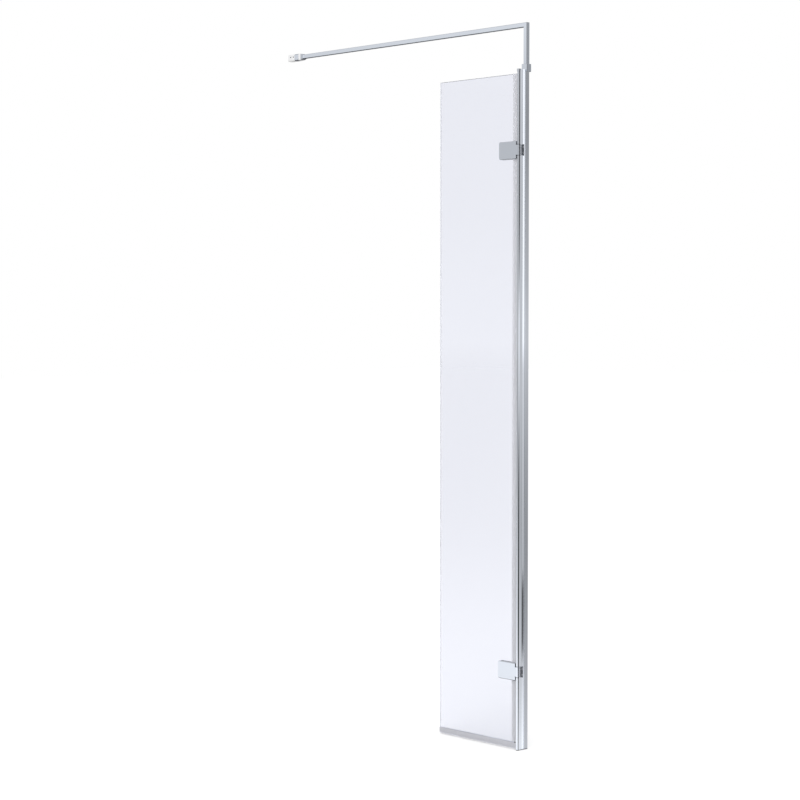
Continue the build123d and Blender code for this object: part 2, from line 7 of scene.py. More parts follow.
import bmesh
import bpy
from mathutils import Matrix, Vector


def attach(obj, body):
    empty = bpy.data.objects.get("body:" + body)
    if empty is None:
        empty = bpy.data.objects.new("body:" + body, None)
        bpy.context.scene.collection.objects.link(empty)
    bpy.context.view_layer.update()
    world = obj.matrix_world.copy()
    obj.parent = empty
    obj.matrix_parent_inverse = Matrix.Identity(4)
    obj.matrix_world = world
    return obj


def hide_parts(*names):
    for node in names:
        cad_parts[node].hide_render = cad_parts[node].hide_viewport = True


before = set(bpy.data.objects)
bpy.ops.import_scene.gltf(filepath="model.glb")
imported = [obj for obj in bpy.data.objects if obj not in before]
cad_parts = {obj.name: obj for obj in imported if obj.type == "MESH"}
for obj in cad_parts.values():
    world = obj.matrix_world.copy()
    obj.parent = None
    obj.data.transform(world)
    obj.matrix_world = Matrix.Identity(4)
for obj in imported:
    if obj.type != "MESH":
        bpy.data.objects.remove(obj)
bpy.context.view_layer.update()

logging.basicConfig(level=logging.INFO, format="%(message)s")
log = logging.getLogger("return_panel")

MM = 0.001
SHARP_ANGLE = 35.0
RIM_ANGLE = 60.0
RIM_SEGMENTS = 3
HINGE_HEIGHTS = {"upper": 1632.5, "lower": 215.0}


class Grain(Enum):
    """How the surface of a metal was made, which sets the direction of its finest marks."""

    DRAWN = "drawn"
    PLATED = "plated"
    TURNED = "turned"


class NodeTree:
    """A material's or a world's node tree, with short ways to add and join nodes."""

    def __init__(self, tree: bpy.types.NodeTree) -> None:
        """Start from an empty tree.

        Args:
            tree: The tree to fill.
        """
        self.tree = tree
        self.tree.nodes.clear()

    def add(self, kind: str, **settings: object) -> bpy.types.Node:
        """Add a node.

        Args:
            kind: Blender's name of the node type, without the leading ShaderNode.
            settings: Node properties, by name.

        Returns:
            The new node.
        """
        node = self.tree.nodes.new(f"ShaderNode{kind}")
        for name, value in settings.items():
            setattr(node, name, value)
        return node

    def join(self, source: bpy.types.NodeSocket, target: bpy.types.NodeSocket) -> None:
        """Link two sockets.

        Args:
            source: The output socket.
            target: The input socket.
        """
        self.tree.links.new(source, target)

    def put(self, value: object, target: bpy.types.NodeSocket) -> None:
        """Set an input: a socket is linked to it, and a plain value is written on it.

        Args:
            value: An output socket, a number or a colour.
            target: The input to set.
        """
        if isinstance(value, bpy.types.NodeSocket):
            self.join(value, target)
        else:
            target.default_value = value

    def math(self, operation: str, *values: object, clamp: bool = False) -> bpy.types.NodeSocket:
        """Add a Math node.

        Args:
            operation: Blender's name of the operation.
            values: Sockets or numbers, in the order of the node's inputs.
            clamp: Keep the result from 0 to 1.

        Returns:
            The node's output.
        """
        node = self.add("Math", operation=operation, use_clamp=clamp)
        for value, target in zip(values, node.inputs):
            self.put(value, target)
        return node.outputs[0]

    def blend(self, factor: object, low: object, high: object) -> bpy.types.NodeSocket:
        """Mix two numbers.

        Args:
            factor: Share of the second one.
            low: Value at factor 0.
            high: Value at factor 1.

        Returns:
            The mixed value.
        """
        node = self.add("Mix", data_type="FLOAT")
        for value, target in zip((factor, low, high), (node.inputs[0], node.inputs[2], node.inputs[3])):
            self.put(value, target)
        return node.outputs[0]

    def ease(self, value: bpy.types.NodeSocket, start: float, end: float) -> bpy.types.NodeSocket:
        """Smooth rise from 0 at start to 1 at end.

        Args:
            value: The socket to read.
            start: Where the rise begins.
            end: Where it ends.

        Returns:
            A socket from 0 to 1.
        """
        node = self.add("MapRange", interpolation_type="SMOOTHSTEP")
        self.put(value, node.inputs["Value"])
        node.inputs["From Min"].default_value = start
        node.inputs["From Max"].default_value = end
        return node.outputs[0]

    def noise(self, scale: Sequence[float], detail: float = 2.0) -> bpy.types.NodeSocket:
        """Noise over the object's own coordinates.

        Args:
            scale: Cells per metre along X, Y and Z.
            detail: Number of finer layers.

        Returns:
            The noise factor, from 0 to 1.
        """
        place = self.add("TexCoord")
        mapping = self.add("Mapping")
        mapping.inputs["Scale"].default_value = scale
        self.join(place.outputs["Object"], mapping.inputs["Vector"])
        node = self.add("TexNoise")
        node.inputs["Scale"].default_value = 1.0
        node.inputs["Detail"].default_value = detail
        self.join(mapping.outputs[0], node.inputs["Vector"])
        return node.outputs[0]

    def bump(self, height: bpy.types.NodeSocket, strength: float, distance: float) -> bpy.types.NodeSocket:
        """Bump from a height.

        Args:
            height: Height from 0 to 1.
            strength: Share of the bump that shows.
            distance: Depth in metres.

        Returns:
            The bent normal.
        """
        node = self.add("Bump")
        node.inputs["Strength"].default_value = strength
        node.inputs["Distance"].default_value = distance
        self.join(height, node.inputs["Height"])
        return node.outputs["Normal"]


@dataclass(frozen=True)
class Finish:
    """A surface finish: the name of its material and the record's slot that it belongs to."""

    name: str
    slot: str

    def fill(self, nodes: NodeTree, shader: bpy.types.Node) -> None:
        """Set the shader's sockets; each kind of finish has its own way.

        Args:
            nodes: The tree to build in.
            shader: Its surface shader.
        """
        raise NotImplementedError

    def material(self) -> bpy.types.Material:
        """The material of this finish, made on first use.

        Returns:
            The one material with this finish's name.
        """
        found = bpy.data.materials.get(self.name)
        if found:
            return found
        material = bpy.data.materials.new(self.name)
        material.use_nodes = True
        nodes = NodeTree(material.node_tree)
        shader = nodes.add("BsdfPrincipled")
        output = nodes.add("OutputMaterial")
        nodes.join(shader.outputs[0], output.inputs["Surface"])
        self.fill(nodes, shader)
        return material


@dataclass(frozen=True)
class Metal(Finish):
    """Bare or plated metal, with fine marks in the direction in which it was made, and painted shade on faces
    towards ±X where an unshaded colour is given.
    """

    colour: tuple[float, float, float] = (0.86, 0.87, 0.90)
    roughness: float = 0.06
    spread: float = 0.04
    grain: Grain = Grain.PLATED
    depth: float = 0.00001
    metallic: float = 1.0
    unshaded_colour: tuple[float, float, float] | None = None
    shade: float = 0.96
    haze_scale: tuple[float, float, float] = (9.0, 9.0, 3.0)
    grain_strength: float = 0.3
    shade_turn: tuple[float, float] = (0.6, 0.95)

    def scales(self) -> tuple[float, float, float]:
        """Size of the grain.

        Returns:
            Cells per metre along X, Y and Z.
        """
        return {
            Grain.DRAWN: (900.0, 900.0, 6.0),
            Grain.PLATED: (60.0, 60.0, 60.0),
            Grain.TURNED: (1400.0, 1400.0, 1400.0),
        }[self.grain]

    def fill(self, nodes: NodeTree, shader: bpy.types.Node) -> None:
        """Metal with a little variation of colour, gloss and height, and painted shade on faces towards ±X
        where an unshaded colour is given.

        Args:
            nodes: The tree to build in.
            shader: Its surface shader.
        """
        grain = nodes.noise(self.scales(), detail=3.0)
        haze = nodes.noise(self.haze_scale, detail=2.0)
        mixer = nodes.add("Mix", data_type="RGBA")
        mixer.inputs[6].default_value = (*self.colour, 1.0)
        mixer.inputs[7].default_value = (*(self.shade * c for c in self.colour), 1.0)
        nodes.join(haze, mixer.inputs[0])
        colour = mixer.outputs[2]
        # Painted shade: with an unshaded colour set, faces that look along ±X take the dark base colour and
        # every other face takes the unshaded colour.
        if self.unshaded_colour:
            split = nodes.add("SeparateXYZ")
            nodes.join(nodes.add("TexCoord").outputs["Normal"], split.inputs[0])
            x_facing_shade = nodes.ease(nodes.math("ABSOLUTE", split.outputs[0]), *self.shade_turn)
            rim = nodes.add("Mix", data_type="RGBA")
            rim.inputs[6].default_value = (*self.unshaded_colour, 1.0)
            nodes.join(x_facing_shade, rim.inputs[0])
            nodes.join(colour, rim.inputs[7])
            colour = rim.outputs[2]
        nodes.join(colour, shader.inputs["Base Color"])
        shader.inputs["Metallic"].default_value = self.metallic
        nodes.join(
            nodes.blend(grain, self.roughness, self.roughness + self.spread), shader.inputs["Roughness"]
        )
        nodes.join(nodes.bump(grain, self.grain_strength, self.depth), shader.inputs["Normal"])


@dataclass(frozen=True)
class ClearGlass(Finish):
    """Toughened clear glass with an easy-clean coat and a faint cool tint."""

    tint: tuple[float, float, float] = (0.868, 0.880, 0.950)
    coat: float = 1.0
    coat_index: float = 1.6
    index: float = 1.52
    shade: float = 0.985
    haze_scale: tuple[float, float, float] = (4.0, 4.0, 2.0)

    def fill(self, nodes: NodeTree, shader: bpy.types.Node) -> None:
        """Clear glass whose gloss hardly varies.

        Args:
            nodes: The tree to build in.
            shader: Its surface shader.
        """
        haze = nodes.noise(self.haze_scale, detail=2.0)
        mixer = nodes.add("Mix", data_type="RGBA")
        mixer.inputs[6].default_value = (*self.tint, 1.0)
        mixer.inputs[7].default_value = (*(self.shade * c for c in self.tint), 1.0)
        nodes.join(haze, mixer.inputs[0])
        nodes.join(mixer.outputs[2], shader.inputs["Base Color"])
        shader.inputs["Roughness"].default_value = 0.0
        shader.inputs["Transmission Weight"].default_value = 1.0
        shader.inputs["IOR"].default_value = self.index
        shader.inputs["Coat Weight"].default_value = self.coat
        shader.inputs["Coat IOR"].default_value = self.coat_index
        shader.inputs["Coat Roughness"].default_value = 0.0


@dataclass(frozen=True)
class SoftPlastic(Finish):
    """Soft or hard plastic and rubber: seals, gaskets, bushes and caps."""

    colour: tuple[float, float, float] = (0.5, 0.5, 0.5)
    roughness: float = 0.35
    clear: float = 0.0
    streaks: tuple[float, float, float] = (300.0, 300.0, 300.0)
    depth: float = 0.00003
    spread: float = 0.12
    shade: float = 0.92
    mark_strength: float = 0.25
    index: float = 1.48

    def fill(self, nodes: NodeTree, shader: bpy.types.Node) -> None:
        """Plastic with fine moulding or drawing marks.

        Args:
            nodes: The tree to build in.
            shader: Its surface shader.
        """
        marks = nodes.noise(self.streaks, detail=3.0)
        mixer = nodes.add("Mix", data_type="RGBA")
        mixer.inputs[6].default_value = (*self.colour, 1.0)
        mixer.inputs[7].default_value = (*(self.shade * c for c in self.colour), 1.0)
        nodes.join(marks, mixer.inputs[0])
        nodes.join(mixer.outputs[2], shader.inputs["Base Color"])
        roughness = nodes.blend(marks, self.roughness, self.roughness + self.spread)
        nodes.join(roughness, shader.inputs["Roughness"])
        nodes.join(nodes.bump(marks, self.mark_strength, self.depth), shader.inputs["Normal"])
        shader.inputs["Transmission Weight"].default_value = self.clear
        shader.inputs["IOR"].default_value = self.index


CHROME = Metal(
    "chrome_plate", "polished_fitting", colour=(0.90, 0.92, 0.95), roughness=0.03, spread=0.03
)
PROFILE = Metal(
    "bright_aluminium", "polished_profile", colour=(0.88, 0.89, 0.91), roughness=0.03, spread=0.03,
    grain=Grain.DRAWN,
)
SATIN = Metal("satin_chrome", "polished_fitting", colour=(0.97, 0.97, 0.97), roughness=0.42, metallic=0.1)
# The side leaf's dark colour is painted shade on its faces towards ±X; its other faces keep a pale chrome
# colour.
SIDE_LEAF_WITH_PAINTED_SHADE = Metal(
    "side_leaf_painted_shade", "polished_fitting", colour=(0.24, 0.25, 0.27), roughness=0.15, unshaded_colour=(0.9, 0.9, 0.92)
)
SCREW = Metal("screw_steel", "steel", colour=(0.62, 0.62, 0.63), roughness=0.25, grain=Grain.TURNED)
DARK_SCREW = Metal("dark_screw", "dark_steel", colour=(0.16, 0.16, 0.17), roughness=0.3, grain=Grain.TURNED)
ZINC = Metal("die_cast_zinc", "joiner", colour=(0.55, 0.56, 0.57), roughness=0.4, spread=0.15)
GLASS = ClearGlass("clear_glass", "glass")
SEAL = SoftPlastic("clear_seal", "seal", colour=(0.935, 0.94, 0.99), roughness=0.3, clear=0.4)
GASKET = SoftPlastic("glazing_strip", "gasket", colour=(0.05, 0.05, 0.055), roughness=0.6)
HINGE_GASKET = SoftPlastic("hinge_sheet", "hinge_gasket", colour=(0.06, 0.06, 0.065), roughness=0.5)
NYLON = SoftPlastic("black_nylon", "bush", colour=(0.03, 0.03, 0.03), roughness=0.4)
CAP = SoftPlastic("grey_cap", "cap", colour=(0.10, 0.105, 0.11), roughness=0.25)


def dress(node: str, finish: Finish) -> None:
    """Give a CAD node its finish.

    Args:
        node: The node's name.
        finish: The finish of its whole surface.
    """
    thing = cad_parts[node]
    thing.data.materials.clear()
    thing.data.materials.append(finish.material())
    log.info("%s: %s", node, finish.name)


Point = tuple[float, float]


def curve_value(p: float, q: float, r: float, s: float, t: float) -> float:
    """One coordinate of a Catmull-Rom curve.

    Args:
        p: Value before the span.
        q: Value at its start.
        r: Value at its end.
        s: Value after it.
        t: Place in the span, from 0 to 1.

    Returns:
        The coordinate.
    """
    slope = r - p
    bend = 2 * p - 5 * q + 4 * r - s
    twist = 3 * q - p - 3 * r + s
    return 0.5 * (2 * q + slope * t + bend * t**2 + twist * t**3)


def smooth_path(points: Sequence[Point], steps: int = 6) -> list[Point]:
    """Round a path off with a Catmull-Rom curve through its points.

    Args:
        points: The corners of the path, in millimetres.
        steps: Pieces between two corners.

    Returns:
        The points of the curve.
    """
    ends = [points[0], *points, points[-1]]
    curve = [
        tuple(curve_value(*values, step / steps) for values in zip(*span))
        for span in zip(ends, ends[1:], ends[2:], ends[3:])
        for step in range(steps)
    ]
    return [*curve, points[-1]]


def round_tip(first: Point, last: Point, steps: int = 6) -> list[Point]:
    """Half circle that closes the end of a strip.

    Args:
        first: Corner where the half circle begins.
        last: Corner where it ends.
        steps: Pieces of the half circle.

    Returns:
        The points between the two corners.
    """
    middle = (Vector(first) + Vector(last)) / 2
    arm = Vector(first) - middle
    turn = Vector((arm.y, -arm.x))
    angles = [math.pi * step / steps for step in range(1, steps)]
    return [tuple(middle + arm * math.cos(angle) + turn * math.sin(angle)) for angle in angles]


def ribbon(points: Sequence[Point], start: float, end: float) -> list[Point]:
    """Outline of a strip along a path, with round tips.

    Args:
        points: Corners of the middle line, in millimetres.
        start: Width at the first point.
        end: Width at the last point.

    Returns:
        The closed outline.
    """
    path = smooth_path(points)
    left, right = [], []
    for index, (x, y) in enumerate(path):
        before, after = path[max(index - 1, 0)], path[min(index + 1, len(path) - 1)]
        along = Vector((after[0] - before[0], after[1] - before[1])).normalized()
        half = (start + (end - start) * index / (len(path) - 1)) / 2
        left.append((x - along.y * half, y + along.x * half))
        right.append((x + along.y * half, y - along.x * half))
    return [*left, *round_tip(left[-1], right[-1]), *reversed(right), *round_tip(right[0], left[0])]


def circle(x: float, y: float, radius: float, sides: int = 32) -> list[Point]:
    """Outline of a circle.

    Args:
        x: First coordinate of the centre, in millimetres.
        y: Second coordinate of the centre.
        radius: Radius.
        sides: Number of sides.

    Returns:
        The closed outline.
    """
    turns = [2 * math.pi * side / sides for side in range(sides)]
    return [(x + radius * math.cos(turn), y + radius * math.sin(turn)) for turn in turns]


class Run(Enum):
    """The axis along which a strip runs, and how a point of its section lies in the room."""

    ALONG_Z = "z"
    ALONG_X = "x"
    ALONG_Y = "y"

    def place(self, u: float, v: float, w: float) -> Vector:
        """Put a point of the section into the room.

        Args:
            u: First coordinate of the section, in millimetres.
            v: Second coordinate of the section.
            w: Place along the run.

        Returns:
            The point, in metres.
        """
        spot = {Run.ALONG_Z: (u, v, w), Run.ALONG_X: (w, u, v), Run.ALONG_Y: (u, w, v)}[self]
        return Vector(spot) * MM


@dataclass
class Moulding:
    """A soft piece made of sections drawn out along one axis."""

    name: str
    node: str
    body: str
    finish: Finish
    run: Run
    start: float
    end: float
    sections: list[list[Point]]
    holes: list[list[Point]] = field(default_factory=list)
    rounding: float = 0.0

    def draw(self, mesh: bmesh.types.BMesh, section: list[Point], holes: Sequence[list[Point]]) -> None:
        """Draw one section out into a closed solid.

        Args:
            mesh: The mesh to add to.
            section: Closed outline.
            holes: Closed outlines inside it.
        """
        edges = []
        for loop in (section, *holes):
            corners = [mesh.verts.new(self.run.place(u, v, self.start)) for u, v in loop]
            edges += [mesh.edges.new((a, b)) for a, b in zip(corners, [*corners[1:], corners[0]])]
        filled = bmesh.ops.triangle_fill(mesh, use_beauty=True, use_dissolve=False, edges=edges)
        faces = [part for part in filled["geom"] if isinstance(part, bmesh.types.BMFace)]
        drawn = bmesh.ops.extrude_face_region(mesh, geom=faces, use_keep_orig=True)
        moved = [part for part in drawn["geom"] if isinstance(part, bmesh.types.BMVert)]
        travel = self.run.place(0, 0, self.end) - self.run.place(0, 0, self.start)
        bmesh.ops.translate(mesh, vec=travel, verts=moved)

    def build(self) -> bpy.types.Object:
        """Make the piece and let it stand for its CAD node.

        Returns:
            The new object.
        """
        mesh = bmesh.new()
        for section in self.sections:
            self.draw(mesh, section, self.holes)
        bmesh.ops.recalc_face_normals(mesh, faces=mesh.faces)
        data = bpy.data.meshes.new(self.name)
        mesh.to_mesh(data)
        mesh.free()
        piece = bpy.data.objects.new(self.name, data)
        bpy.context.scene.collection.objects.link(piece)
        for face in data.polygons:
            face.use_smooth = True
        data.set_sharp_from_angle(angle=math.radians(SHARP_ANGLE))
        if self.rounding:
            bevel = piece.modifiers.new("soft_rim", "BEVEL")
            bevel.width = self.rounding * MM
            bevel.segments = RIM_SEGMENTS
            bevel.limit_method = "ANGLE"
            bevel.angle_limit = math.radians(RIM_ANGLE)
        data.materials.append(self.finish.material())
        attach(piece, self.body)
        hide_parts(self.node)
        log.info("%s stands for %s: %s", self.name, self.node, self.finish.name)
        return piece


@dataclass
class Post:
    """The fixed post: hinge profile, glazing channel, caps and what they hold."""

    finishes: dict[str, Finish] = field(
        default_factory=lambda: {
            "hinge_profile": PROFILE,
            "glazing_channel": PROFILE,
            "nose_cap": PROFILE,
            "profile_top_cap": PROFILE,
            "foot_cap": CAP,
            "top_cap_screw": SCREW,
            "foot_cap_screw": SCREW,
            "channel_screws": SCREW,
            "leaf_screws": SCREW,
        }
    )
    channel_middle: float = -3.15
    gasket_foot: float = 12.1
    gasket_top: float = 1824.2
    wall_reach: float = 6.25
    shoulder_reach: float = 5.45
    grip_reach: float = 4.2
    floor_y: float = 23.1
    shoulder_y: float = 34.1
    mouth_y: float = 35.6
    ribs: int = 4

    def gasket_section(self, side: int) -> list[Point]:
        """Section of a glazing gasket: flat to the wall, hooked at the mouth, ribbed to the screen.

        Args:
            side: 1 for the outer wall of the channel and -1 for the inner one.

        Returns:
            The closed outline.
        """
        outline = [
            (self.wall_reach, self.floor_y),
            (self.wall_reach, self.shoulder_y),
            (self.shoulder_reach, self.shoulder_y),
            (self.shoulder_reach, self.mouth_y - 0.5),
            (self.shoulder_reach - 0.3, self.mouth_y),
            (self.grip_reach + 0.3, self.mouth_y),
        ]
        pitch = (self.mouth_y - self.floor_y) / self.ribs
        for rib in range(self.ribs):
            top = self.mouth_y - rib * pitch
            outline += [(self.grip_reach, top - 0.15 * pitch), (self.grip_reach + 0.9, top - 0.75 * pitch)]
        outline.append((self.grip_reach + 0.9, self.floor_y))
        return [(self.channel_middle + side * u, v) for u, v in outline]

    def build(self) -> None:
        """Dress the post's pieces and make its gaskets."""
        for node, finish in self.finishes.items():
            dress(node, finish)
        for label, side in (("outer", 1), ("inner", -1)):
            Moulding(
                f"ribbed_gasket_{label}", f"glazing_gasket_{label}", "post", GASKET, Run.ALONG_Z,
                self.gasket_foot, self.gasket_top, [self.gasket_section(side)],
            ).build()


@dataclass
class SupportArm:
    """The square support arm, from its collar on the post to its bracket on the wall."""

    finishes: dict[str, Finish] = field(
        default_factory=lambda: {
            "arm_collar": CHROME,
            "collar_screw": SCREW,
            "collar_grub_screws": DARK_SCREW,
            "riser_tube": CHROME,
            "arm_tube": CHROME,
            "corner_joiner": ZINC,
            "corner_grub_screws": DARK_SCREW,
            "wall_boss": ZINC,
            "wall_bracket": SATIN,
            "arm_sleeve": CHROME,
            "sleeve_ring": SATIN,
            "arm_ferrule": CHROME,
            "bracket_grub_screws": DARK_SCREW,
        }
    )

    def build(self) -> None:
        """Dress the arm's pieces."""
        for node, finish in self.finishes.items():
            dress(node, finish)


@dataclass
class Hinge:
    """One of the two hinges of the panel, at a height in millimetres."""

    level: str
    height: float
    left: float = -70.7
    right: float = -6.3
    half_height: float = 24.0
    outer_corner: float = 5.0
    inner_corner: float = 1.5
    boss_xs: tuple[float, float] = (-28.3, -54.3)
    sleeve_bore: float = 5.1
    screw_bore: float = 2.7

    front_span: tuple[float, float] = (0.02, 0.98)
    back_span: tuple[float, float] = (9.02, 9.98)
    rim: float = 0.25
    corner_steps: int = 6
    finishes: dict[str, Finish] = field(
        default_factory=lambda: {
            "front_plate": CHROME,
            "back_plate": CHROME,
            "clamp_screws": SCREW,
            "hinge_bushes": NYLON,
            "hinge_pin": SCREW,
            "side_leaf": SIDE_LEAF_WITH_PAINTED_SHADE,
        }
    )

    def sheet(self) -> list[Point]:
        """Outline of a gasket: a rectangle with two larger and two smaller round corners.

        Returns:
            The closed outline in X and Z.
        """
        low, high = self.height - self.half_height, self.height + self.half_height
        outline = []
        for x, z, radius, first in (
            (self.right, low, self.inner_corner, -90.0),
            (self.right, high, self.inner_corner, 0.0),
            (self.left, high, self.outer_corner, 90.0),
            (self.left, low, self.outer_corner, 180.0),
        ):
            centre_x = x + (radius if x == self.left else -radius)
            centre_z = z + (radius if z == low else -radius)
            for step in range(self.corner_steps + 1):
                turn = math.radians(first + 90.0 * step / self.corner_steps)
                outline.append((centre_x + radius * math.cos(turn), centre_z + radius * math.sin(turn)))
        return outline

    def build(self) -> None:
        """Dress the hinge's pieces and make its gaskets."""
        for part, finish in self.finishes.items():
            dress(f"{self.level}_{part}", finish)
        for part, (start, end), bore in (
            ("front_gasket", self.front_span, self.sleeve_bore),
            ("back_gasket", self.back_span, self.screw_bore),
        ):
            holes = [circle(x, self.height, bore) for x in self.boss_xs]
            Moulding(
                f"{self.level}_soft_{part}", f"{self.level}_{part}", "panel", HINGE_GASKET, Run.ALONG_Y,
                start, end, [self.sheet()], holes, self.rim,
            ).build()


@dataclass
class SwingingPanel:
    """The glass and its soft seals."""

    side_spans: dict[str, tuple[float, float]] = field(
        default_factory=lambda: {"bottom": (22.2, 190.5), "middle": (239.5, 1608.0), "top": (1657.0, 1838.0)}
    )
    bottom_span: tuple[float, float] = (-305.0, -6.0)
    clip_wall: float = 0.9
    lip_root: float = 1.3
    nose_lip_tip: float = 0.55
    closing_lip_root: float = 0.95
    closing_lip_tip: float = 0.5
    bulb_radius: float = 0.5
    bulb_sides: int = 16
    fin_tip: float = 0.65

    def side_sections(self) -> list[list[Point]]:
        """Sections of the side seal, in X and Y.

        Returns:
            The clip, the lip to the nose, the closing lip and its bulb.
        """
        clip = [
            (-21.7, 0.50), (-18.0, 0.50), (-13.0, 0.50), (-11.4, 0.60), (-10.95, 1.6), (-10.9, 5.0),
            (-10.95, 8.4), (-11.4, 9.4), (-13.0, 9.5), (-18.0, 9.5), (-21.7, 9.5),
        ]
        nose_lip = [(-10.9, 0.9), (-9.0, 0.95), (-7.0, 0.85), (-5.1, 0.40)]
        closing_lip = [(-10.9, 9.35), (-8.0, 9.55), (-5.5, 9.5), (-3.9, 9.35)]
        return [
            ribbon(clip, self.clip_wall, self.clip_wall),
            ribbon(nose_lip, self.lip_root, self.nose_lip_tip),
            ribbon(closing_lip, self.closing_lip_root, self.closing_lip_tip),
            circle(-4.05, 9.4, self.bulb_radius, self.bulb_sides),
        ]

    def bottom_sections(self) -> list[list[Point]]:
        """Sections of the bottom seal, in Y and Z.

        Returns:
            The clip and the two fins.
        """
        clip = [
            (0.50, 19.4), (0.50, 16.0), (0.50, 11.0), (0.60, 9.3), (1.6, 8.9), (5.0, 8.9),
            (8.4, 8.9), (9.4, 9.3), (9.5, 11.0), (9.5, 16.0), (9.5, 19.4),
        ]
        front_fin = [(1.9, 8.8), (1.7, 6.5), (1.2, 4.8), (0.45, 3.4)]
        back_fin = [(8.1, 8.8), (8.3, 6.5), (8.7, 4.8), (9.4, 3.4)]
        return [
            ribbon(clip, self.clip_wall, self.clip_wall),
            ribbon(front_fin, self.lip_root, self.fin_tip),
            ribbon(back_fin, self.lip_root, self.fin_tip),
        ]

    def build(self) -> None:
        """Dress the glass and make the seals."""
        dress("glass_panel", GLASS)
        for label, (start, end) in self.side_spans.items():
            Moulding(
                f"lipped_seal_{label}", f"side_seal_{label}", "panel", SEAL, Run.ALONG_Z, start, end,
                self.side_sections(),
            ).build()
        Moulding(
            "finned_seal", "bottom_seal", "panel", SEAL, Run.ALONG_X, *self.bottom_span,
            self.bottom_sections(),
        ).build()


Profile = tuple[tuple[float, float], ...]


@dataclass(frozen=True)
class Zone:
    """A sector of the studio that only shows in reflections, with its brightness by height.

    Azimuths are in degrees from +X towards +Y, and the profile pairs an elevation with a brightness.
    """

    start: float
    end: float
    soft: float
    profile: Profile


@dataclass
class Studio:
    """Floor, soft light, reflections and camera."""

    floor_size: float = 60.0
    floor_colour: float = 0.8
    floor_glow: float = 0.39
    floor_glow_through: float = 0.345
    world_light: float = 0.82
    key_power: float = 60.0
    key_size: float = 3.0
    key_place: tuple[float, float, float] = (1.5, -3.0, 4.2)
    key_aim: tuple[float, float, float] = (-0.2, 0.0, 1.0)
    camera_place: tuple[float, float, float] = (3.7941, -3.9908, 1.182)
    camera_pitch: float = 2.3413
    camera_azimuth: float = 46.888
    camera_lens: float = 91.35
    camera_sensor: float = 36.0
    cool: tuple[float, float, float] = (0.965, 1.0, 1.06)
    surround: Profile = (
        (-90.0, 0.1), (-30.0, 0.1), (-16.0, 0.25), (-13.0, 0.85), (-11.0, 0.88), (-9.9, 0.92), (-9.0, 0.90),
        (-6.0, 0.58), (-3.0, 0.54), (-1.08, 0.58), (-1.02, 0.86), (1.0, 0.72), (3.0, 0.56), (6.4, 0.53),
        (7.2, 0.72), (9.0, 0.80), (14.0, 0.7), (25.0, 0.45), (60.0, 0.35), (90.0, 0.6),
    )
    zones: tuple[Zone, ...] = (
        Zone(-122.0, -42.0, 4.0, (
            (-30.0, 0.1), (-16.0, 0.3), (-13.0, 1.2), (-11.2, 1.25), (-10.0, 1.1), (-9.0, 0.86), (-6.7, 0.60),
            (-4.5, 0.42), (-1.08, 0.38), (-1.02, 0.42), (1.0, 0.36), (4.6, 0.42), (5.6, 0.50), (7.0, 0.55),
            (12.0, 0.6),
        )),
        Zone(-42.0, -30.0, 2.0, (
            (-30.0, 0.1), (-16.0, 0.3), (-12.0, 1.0), (-9.7, 0.7), (-9.3, 0.13), (-7.4, 0.12), (-7.1, 0.50),
            (-5.6, 0.50), (-3.3, 0.63), (-1.07, 0.80), (-1.0, 1.1), (6.8, 1.1), (12.0, 0.9),
        )),
        Zone(-30.0, 44.0, 2.0, (
            (-40.0, 0.1), (-13.0, 0.5), (-11.2, 0.22), (-10.1, 0.05), (-9.0, 0.01), (-5.6, 0.01),
            (-4.5, 0.05), (-3.3, 0.36), (-2.2, 0.72), (-1.0, 0.95), (0.1, 0.95), (1.2, 0.38),
            (2.3, 0.08), (3.4, 0.01), (9.0, 0.01), (12.0, 0.5),
        )),
        Zone(44.5, 49.3, 0.8, (
            (-30.0, 0.1), (-12.0, 0.585), (-11.2, 0.53), (-9.0, 0.39), (-7.8, 0.345), (-6.7, 0.32),
            (-5.6, 0.335), (-4.5, 0.37), (-3.3, 0.43), (-2.2, 0.49), (-1.07, 0.55), (-1.0, 0.60),
            (0.1, 0.565), (1.2, 0.49), (2.3, 0.445), (3.4, 0.40), (4.6, 0.33), (5.7, 0.31), (6.8, 0.34),
            (12.0, 0.4),
        )),
        Zone(49.8, 54.5, 0.8, (
            (-30.0, 0.1), (-12.0, 0.93), (-11.2, 0.79), (-9.0, 0.58), (-7.8, 0.51), (-6.7, 0.46),
            (-5.6, 0.45), (-4.5, 0.49), (-3.3, 0.525), (-2.2, 0.58), (0.1, 0.61), (2.3, 0.57),
            (3.4, 0.565), (5.7, 0.62), (6.8, 0.69), (12.0, 0.7),
        )),
        Zone(55.0, 80.0, 0.8, (
            (-30.0, 0.1), (-12.0, 1.1), (-11.2, 0.95), (-9.7, 0.7), (-9.35, 0.13), (-7.4, 0.10), (-7.1, 0.50),
            (-5.6, 0.54), (-4.5, 0.585), (-3.3, 0.63), (-2.2, 0.69), (-1.07, 0.78), (-1.0, 1.12), (4.6, 1.08),
            (6.8, 1.14), (12.0, 1.0),
        )),
        Zone(108.0, 158.0, 6.0, (
            (-25.0, 0.15), (-13.0, 0.16), (-4.0, 0.16), (-2.0, 0.5), (0.0, 0.7), (12.0, 0.7),
        )),
    )

    def read_profile(
        self, nodes: NodeTree, elevation: bpy.types.NodeSocket, profile: Profile
    ) -> bpy.types.NodeSocket:
        """Brightness at the ray's elevation.

        Args:
            nodes: The world's tree.
            elevation: Elevation in degrees, moved and scaled to run from 0 to 1.
            profile: Pairs of elevation and brightness, from low to high.

        Returns:
            The brightness.
        """
        ramp = nodes.add("ValToRGB")
        stops = ramp.color_ramp.elements
        stops.remove(stops[-1])
        for index, (height, brightness) in enumerate(profile):
            place = (height + 90.0) / 180.0
            stop = stops[0] if index == 0 else stops.new(place)
            stop.position = place
            stop.color = (brightness, brightness, brightness, 1.0)
        nodes.join(elevation, ramp.inputs[0])
        return ramp.outputs[0]

